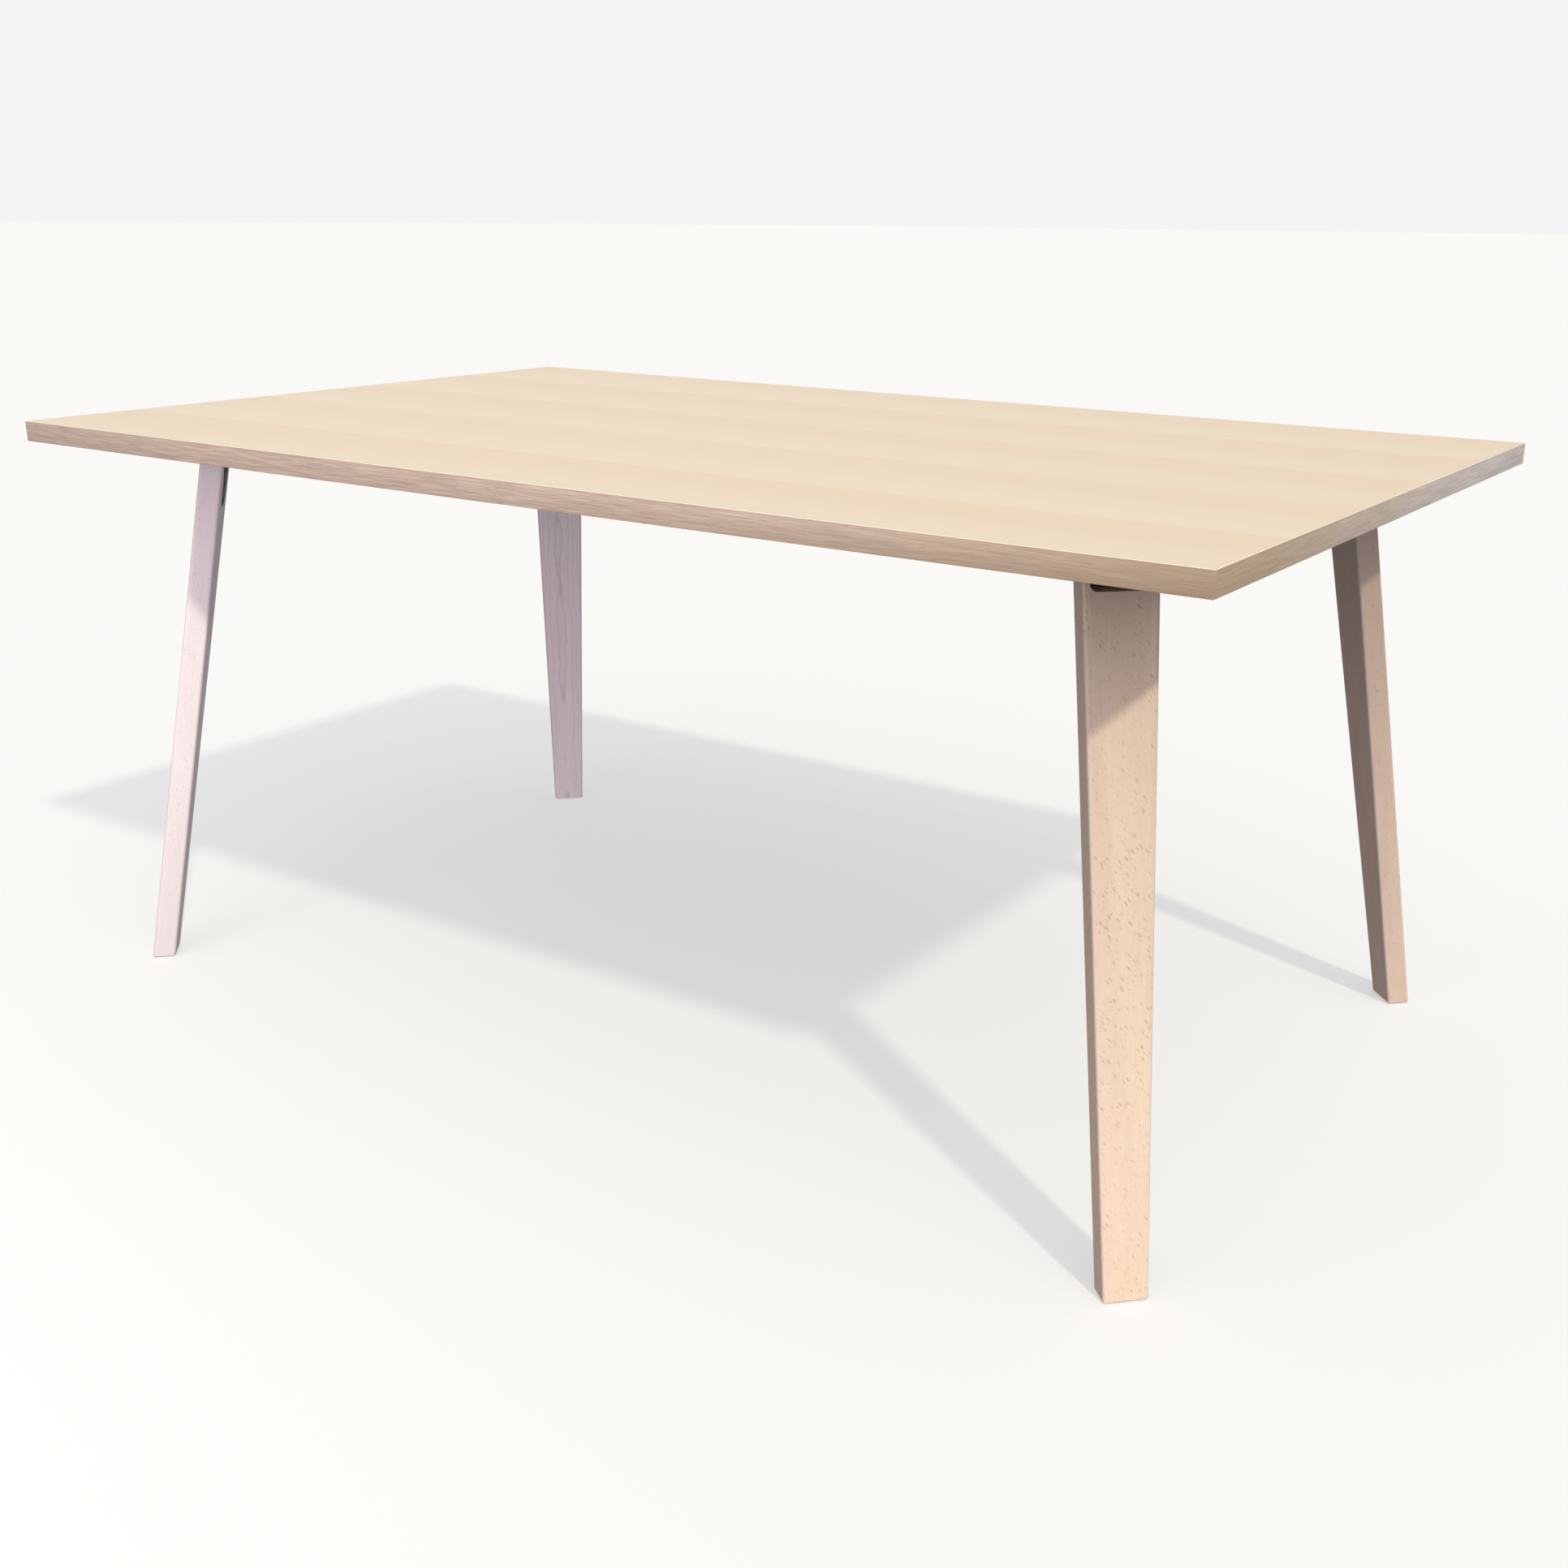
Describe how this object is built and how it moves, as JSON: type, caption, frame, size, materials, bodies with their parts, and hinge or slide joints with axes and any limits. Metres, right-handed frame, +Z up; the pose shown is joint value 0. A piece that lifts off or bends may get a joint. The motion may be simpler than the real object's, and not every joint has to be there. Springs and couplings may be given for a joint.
{
  "type": "communion table",
  "caption": "Rectangular veneered table on tapered beech legs that splay outwards along the diagonals, held by hidden steel brackets.",
  "frame": {"origin": "on the floor, under the middle of the top", "axes": "+X along the length, +Y across the width, +Z up; the front is the long side at -Y"},
  "size_m": [1.61, 0.975, 0.74],
  "materials": {
    "top_veneer": "pale beech veneer, matt lacquer",
    "underside_veneer": "plain backing veneer, thin matt lacquer",
    "edge_band": "beech edge banding, satin lacquer",
    "particleboard": "raw particleboard",
    "beech_leg": "solid beech with ray flecks, satin lacquer",
    "black_steel": "black powder coat, satin",
    "zinc_screw": "zinc plated",
    "black_bolt": "black oxide",
    "zinc_insert": "zinc plated",
    "nylon_glide": "brown nylon, matt"
  },
  "bodies": {
    "root": {"top_core": "particleboard", "top_veneer": "top_veneer", "underside_veneer": "underside_veneer", "edge_band_front": "edge_band", "edge_band_back": "edge_band", "edge_band_left": "edge_band", "edge_band_right": "edge_band", "leg_front_right": "beech_leg", "bracket_front_right": "black_steel", "foot_glide_front_right": "nylon_glide", "wood_screw_front_right_1": "zinc_screw", "wood_screw_front_right_2": "zinc_screw", "wood_screw_front_right_3": "zinc_screw", "wood_screw_front_right_4": "zinc_screw", "wood_screw_front_right_5": "zinc_screw", "leg_bolt_front_right_1": "black_bolt", "leg_bolt_front_right_2": "black_bolt", "leg_insert_front_right_1": "zinc_insert", "leg_insert_front_right_2": "zinc_insert", "leg_back_right": "beech_leg", "bracket_back_right": "black_steel", "foot_glide_back_right": "nylon_glide", "wood_screw_back_right_1": "zinc_screw", "wood_screw_back_right_2": "zinc_screw", "wood_screw_back_right_3": "zinc_screw", "wood_screw_back_right_4": "zinc_screw", "wood_screw_back_right_5": "zinc_screw", "leg_bolt_back_right_1": "black_bolt", "leg_bolt_back_right_2": "black_bolt", "leg_insert_back_right_1": "zinc_insert", "leg_insert_back_right_2": "zinc_insert", "leg_back_left": "beech_leg", "bracket_back_left": "black_steel", "foot_glide_back_left": "nylon_glide", "wood_screw_back_left_1": "zinc_screw", "wood_screw_back_left_2": "zinc_screw", "wood_screw_back_left_3": "zinc_screw", "wood_screw_back_left_4": "zinc_screw", "wood_screw_back_left_5": "zinc_screw", "leg_bolt_back_left_1": "black_bolt", "leg_bolt_back_left_2": "black_bolt", "leg_insert_back_left_1": "zinc_insert", "leg_insert_back_left_2": "zinc_insert", "leg_front_left": "beech_leg", "bracket_front_left": "black_steel", "foot_glide_front_left": "nylon_glide", "wood_screw_front_left_1": "zinc_screw", "wood_screw_front_left_2": "zinc_screw", "wood_screw_front_left_3": "zinc_screw", "wood_screw_front_left_4": "zinc_screw", "wood_screw_front_left_5": "zinc_screw", "leg_bolt_front_left_1": "black_bolt", "leg_bolt_front_left_2": "black_bolt", "leg_insert_front_left_1": "zinc_insert", "leg_insert_front_left_2": "zinc_insert"}
  },
  "joints": []
}
